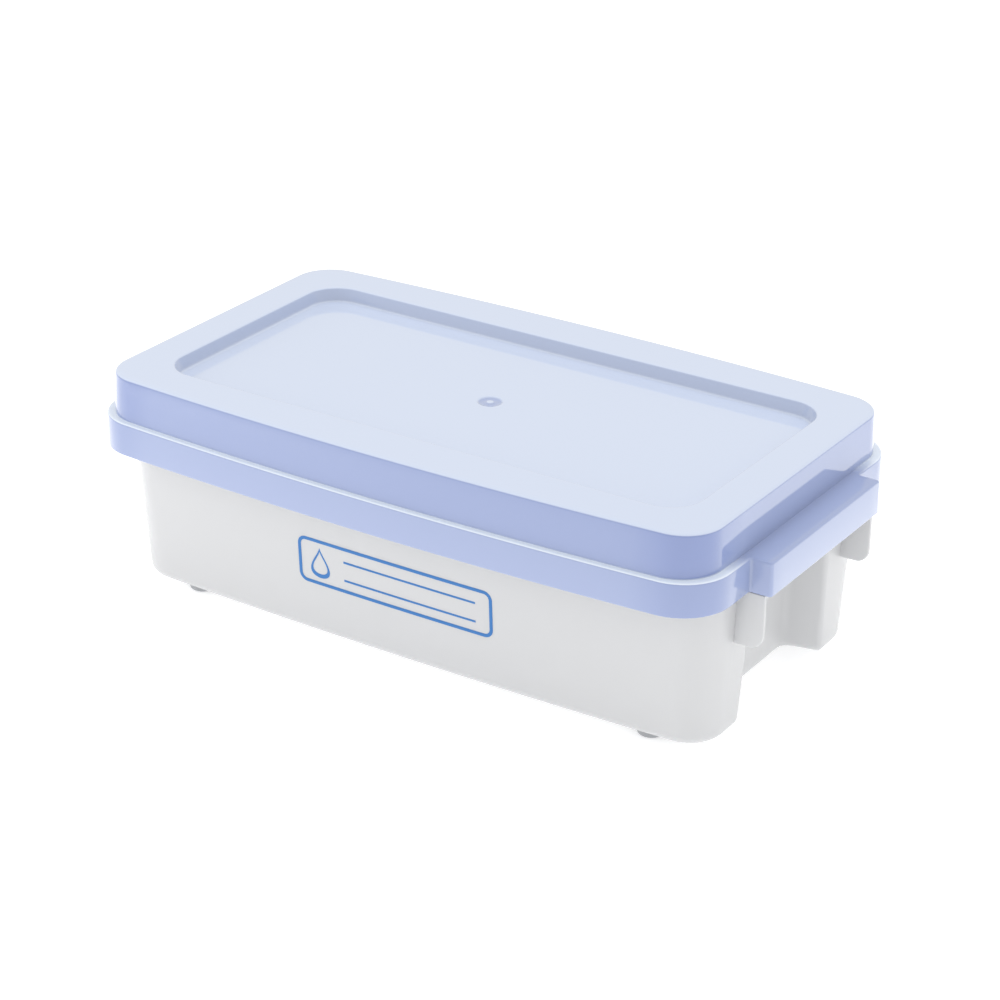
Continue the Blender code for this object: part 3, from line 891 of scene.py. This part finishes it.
class SOAKING_OT_press_plate(bpy.types.Operator):
    """Build the perforated press plate with its grip"""

    bl_idname = "soaking.press_plate"
    bl_label = "Press plate"

    def execute(self, context):
        s = sizes()
        low, face = PLATE_LOW.z, PLATE_LOW.z + s.plate_thickness
        rise, border = low + s.plate_border_height, s.plate_border
        path = rounded([
            (0.006, low, 0), (0, low, 0.0005), (0, rise, 0.0005), (border, rise, 0.0005),
            (border, face, 0.0008), (0.006, face, 0),
        ])
        shape = (PLATE_HIGH.x, PLATE_HIGH.y, s.plate_radius)
        plate = loft("press_plate_shell", [(insert_outline(*shape, inset), z, 0.0) for inset, z in path])

        span, wall, peak, root = s.grip_half_span, s.grip_wall, PLATE_HIGH.z, face - s.plate_thickness / 2
        arch = rounded([
            (span, root, 0), (span, peak, 0.006), (-span, peak, 0.006), (-span, root, 0),
            (wall - span, root, 0), (wall - span, peak - wall, 0.004), (span - wall, peak - wall, 0.004),
            (span - wall, root, 0),
        ], 6)
        merge(plate, bar("grip", arch, s.grip_half_width, GRIP_EDGE))

        mat = plastic("satin polypropylene", colours().insert, colours().insert, 0.42, 0.08)
        run_tree(plate, perforation_tree(), {
            "Columns": s.plate_columns, "Rows": s.plate_rows, "Pitch": s.plate_pitch,
            "Radius": s.hole_radius, "Depth": 3 * s.plate_thickness,
            "Middle": low + s.plate_thickness / 2, "Material": mat,
        })
        dress(plate, mat, "press_plate", "plate_plastic", "press_plate")
        return {"FINISHED"}


FILM_THICKNESS = 0.0001
FILM_OFFSET = 0.6  # -1 would put all of the film behind the wall's face, and 1 all of it in front
LINE_STEPS = 28
DROP_STEPS = 48
DROP_BELLY = 1.3
DROP_TALL = 1.25


def frame_path(half_length, half_height, radius, inset):
    """The label's frame, anticlockwise, with enough points along it to follow the wall's swell."""
    turn = radius - inset
    reach, rise = half_length - radius, half_height - radius
    middles = ((reach, -rise), (reach, rise), (-reach, rise), (-reach, -rise))
    corners = [arc(m, turn, (k - 1) * math.pi / 2, k * math.pi / 2, 8) for k, m in enumerate(middles)]
    path = []
    for k, corner in enumerate(corners):
        following = corners[(k + 1) % len(corners)]
        path += corner + between(corner[-1], following[0], 24 if k % 2 else 4)
    return path


def drop_path(size, middle):
    """A falling drop, anticlockwise: a round belly that narrows to a point."""
    turns = [-2 * math.pi * k / DROP_STEPS for k in range(DROP_STEPS)]
    widths = [DROP_BELLY * math.sin(t) * math.sin(t / 2) ** 2 for t in turns]
    return [(middle + size * width, size * DROP_TALL * math.cos(t)) for width, t in zip(widths, turns)]


class SOAKING_OT_label(bpy.types.Operator):
    """Print a write-on label frame with a drop and ruled lines on the front wall"""

    bl_idname = "soaking.label"
    bl_label = "Printed label"

    def execute(self, context):
        s = sizes()
        reach, rise, stroke = s.label_length / 2, s.label_height / 2, s.stroke
        bm = bmesh.new()
        strip(bm, *(frame_path(reach, rise, s.label_radius, inset) for inset in (0, stroke)))
        # the drop and the lines face into the wall, so their ink lies flatter on it than the frame's
        strip(bm, *(drop_path(s.drop_size - inset, s.drop_place - reach) for inset in (stroke, 0)))
        for height in (s.upper_line, s.lower_line):
            start, end = s.line_start - reach, reach - s.line_end
            across = [start + (end - start) * k / LINE_STEPS for k in range(LINE_STEPS + 1)]
            strip(bm, *([(x, height + side * stroke / 3) for x in across] for side in (1, -1)), closed=False)
        bmesh.ops.translate(bm, verts=bm.verts, vec=(s.label_x, 0, s.label_z))
        label = mesh_object("label_print", bm)
        film = label.modifiers.new("film", "SOLIDIFY")
        film.thickness = FILM_THICKNESS
        film.offset = FILM_OFFSET
        settle(label)

        mat = plastic("blue ink", colours().ink, colours().ink, 0.35, 0.1, 0.1, 0.05)
        straight = s.tank_half_length + s.length_draft * (s.label_z - TANK_LOW.z) - s.tank_radius
        run_tree(label, wrap_tree(), {
            "Half Width": s.tank_half_width, "Draft": s.width_draft, "Floor": TANK_LOW.z,
            "Bow": s.tank_bow, "Straight": straight, "Material": mat,
        })
        dress(label, mat, "box", "tank_plastic")
        return {"FINISHED"}


# ---------------------------------------------------------------- stage


FLOOR_RADIUS = 40.0
FLOOR_GAP = 0.0002  # how far the floor lies below the feet
SOFTBOXES = (  # name, place, size and power
    ("top softbox", (0.1, 0.2, 1.3), 1.2, 6.5),
    ("left softbox", (-0.55, -0.45, 0.3), 0.35, 0.9),
    ("right softbox", (1.0, 0.1, 0.8), 0.6, 0.5),
)


def aim_camera(scene, stage):
    """Stands the camera off its target at the stage's angles."""
    turn, rise, roll = (math.radians(v) for v in (stage.azimuth, stage.elevation, stage.roll))
    back = Vector((math.sin(turn) * math.cos(rise), -math.cos(turn) * math.cos(rise), math.sin(rise)))
    level = Vector((math.cos(turn), math.sin(turn), 0))
    upright = back.cross(level)
    right = math.cos(roll) * level + math.sin(roll) * upright
    up = math.cos(roll) * upright - math.sin(roll) * level
    data = bpy.data.cameras.new("camera")
    data.lens = stage.lens
    data.sensor_width = 36.0
    data.clip_start = 0.01
    camera = bpy.data.objects.new("camera", data)
    place = Vector(stage.target) + back * stage.distance
    camera.matrix_world = Matrix.Translation(place) @ Matrix((right, up, back)).transposed().to_4x4()
    scene.collection.objects.link(camera)
    scene.camera = camera


def lay_floor(glow):
    """A wide pale table that is lit from within."""
    bpy.ops.mesh.primitive_circle_add(
        vertices=96, radius=FLOOR_RADIUS, fill_type="NGON", location=(0, 0, -FLOOR_GAP)
    )
    floor = bpy.context.object
    floor.name = "floor"
    paint = bpy.data.materials.new("pale floor")
    paint.use_nodes = True
    shader = paint.node_tree.nodes["Principled BSDF"]
    grain = add_node(paint.node_tree, "ShaderNodeTexNoise", {"Scale": 60.0, "Detail": 2.0})
    tone = add_node(paint.node_tree, "ShaderNodeMapRange", {
        "Value": grain.outputs[0], "To Min": 0.9, "To Max": 0.92,
    })
    paint.node_tree.links.new(tone.outputs[0], shader.inputs["Base Color"])
    shader.inputs["Roughness"].default_value = 0.9
    shader.inputs["Specular IOR Level"].default_value = 0.1
    shader.inputs["Emission Color"].default_value = (1, 1, 1, 1)
    shader.inputs["Emission Strength"].default_value = glow
    floor.data.materials.append(paint)


def hang_lights(scene, stage):
    """An even white sky and the softboxes, which don't show in the plastic's gloss."""
    world = bpy.data.worlds.new("studio")
    world.use_nodes = True
    world.node_tree.nodes["Background"].inputs["Color"].default_value = (1, 1, 1, 1)
    world.node_tree.nodes["Background"].inputs["Strength"].default_value = stage.sky
    scene.world = world
    for name, spot, size, power in SOFTBOXES:
        data = bpy.data.lights.new(name, "AREA")
        data.shape = "SQUARE"
        data.size = size
        data.energy = power
        lamp = bpy.data.objects.new(name, data)
        lamp.location = spot
        lamp.visible_glossy = False
        lamp.rotation_euler = (Vector(stage.target) - Vector(spot)).to_track_quat("-Z", "Y").to_euler()
        scene.collection.objects.link(lamp)


class SOAKING_OT_stage(bpy.types.Operator):
    """Set up the camera, the pale floor and the soft studio light"""

    bl_idname = "soaking.stage"
    bl_label = "Stage"

    def execute(self, context):
        scene = context.scene
        stage = getattr(scene, STAGE)
        aim_camera(scene, stage)
        lay_floor(stage.glow)
        hang_lights(scene, stage)
        scene.view_settings.view_transform = "Standard"
        return {"FINISHED"}


class SOAKING_PT_panel(bpy.types.Panel):
    """Lists the pieces of the soaking box"""

    bl_label = "Soaking box"
    bl_space_type = "VIEW_3D"
    bl_region_type = "UI"
    bl_category = "Soaking box"

    def draw(self, context):
        for operator in OPERATORS:
            self.layout.operator(operator.bl_idname)
        for group in (SIZES, COLOURS, STAGE):
            held = getattr(context.scene, group)
            box = self.layout.box()
            for name in held.bl_rna.properties.keys():
                if name not in ("rna_type", "name"):
                    box.prop(held, name)


OPERATORS = (
    SOAKING_OT_tank, SOAKING_OT_lid, SOAKING_OT_feet, SOAKING_OT_basket, SOAKING_OT_press_plate,
    SOAKING_OT_label, SOAKING_OT_stage,
)
GROUPS = ((SIZES, BoxSizes), (COLOURS, BoxColours), (STAGE, BoxStage))
CLASSES = tuple(kind for _, kind in GROUPS) + OPERATORS + (SOAKING_PT_panel,)


def register():
    for kind in CLASSES:
        bpy.utils.register_class(kind)
    for name, kind in GROUPS:
        setattr(bpy.types.Scene, name, PointerProperty(type=kind))


def unregister():
    for name, _ in GROUPS:
        delattr(bpy.types.Scene, name)
    for kind in reversed(CLASSES):
        bpy.utils.unregister_class(kind)


def main():
    register()
    for operator in OPERATORS:
        area, name = operator.bl_idname.split(".")
        getattr(getattr(bpy.ops, area), name)()


if __name__ == "__main__":
    main()
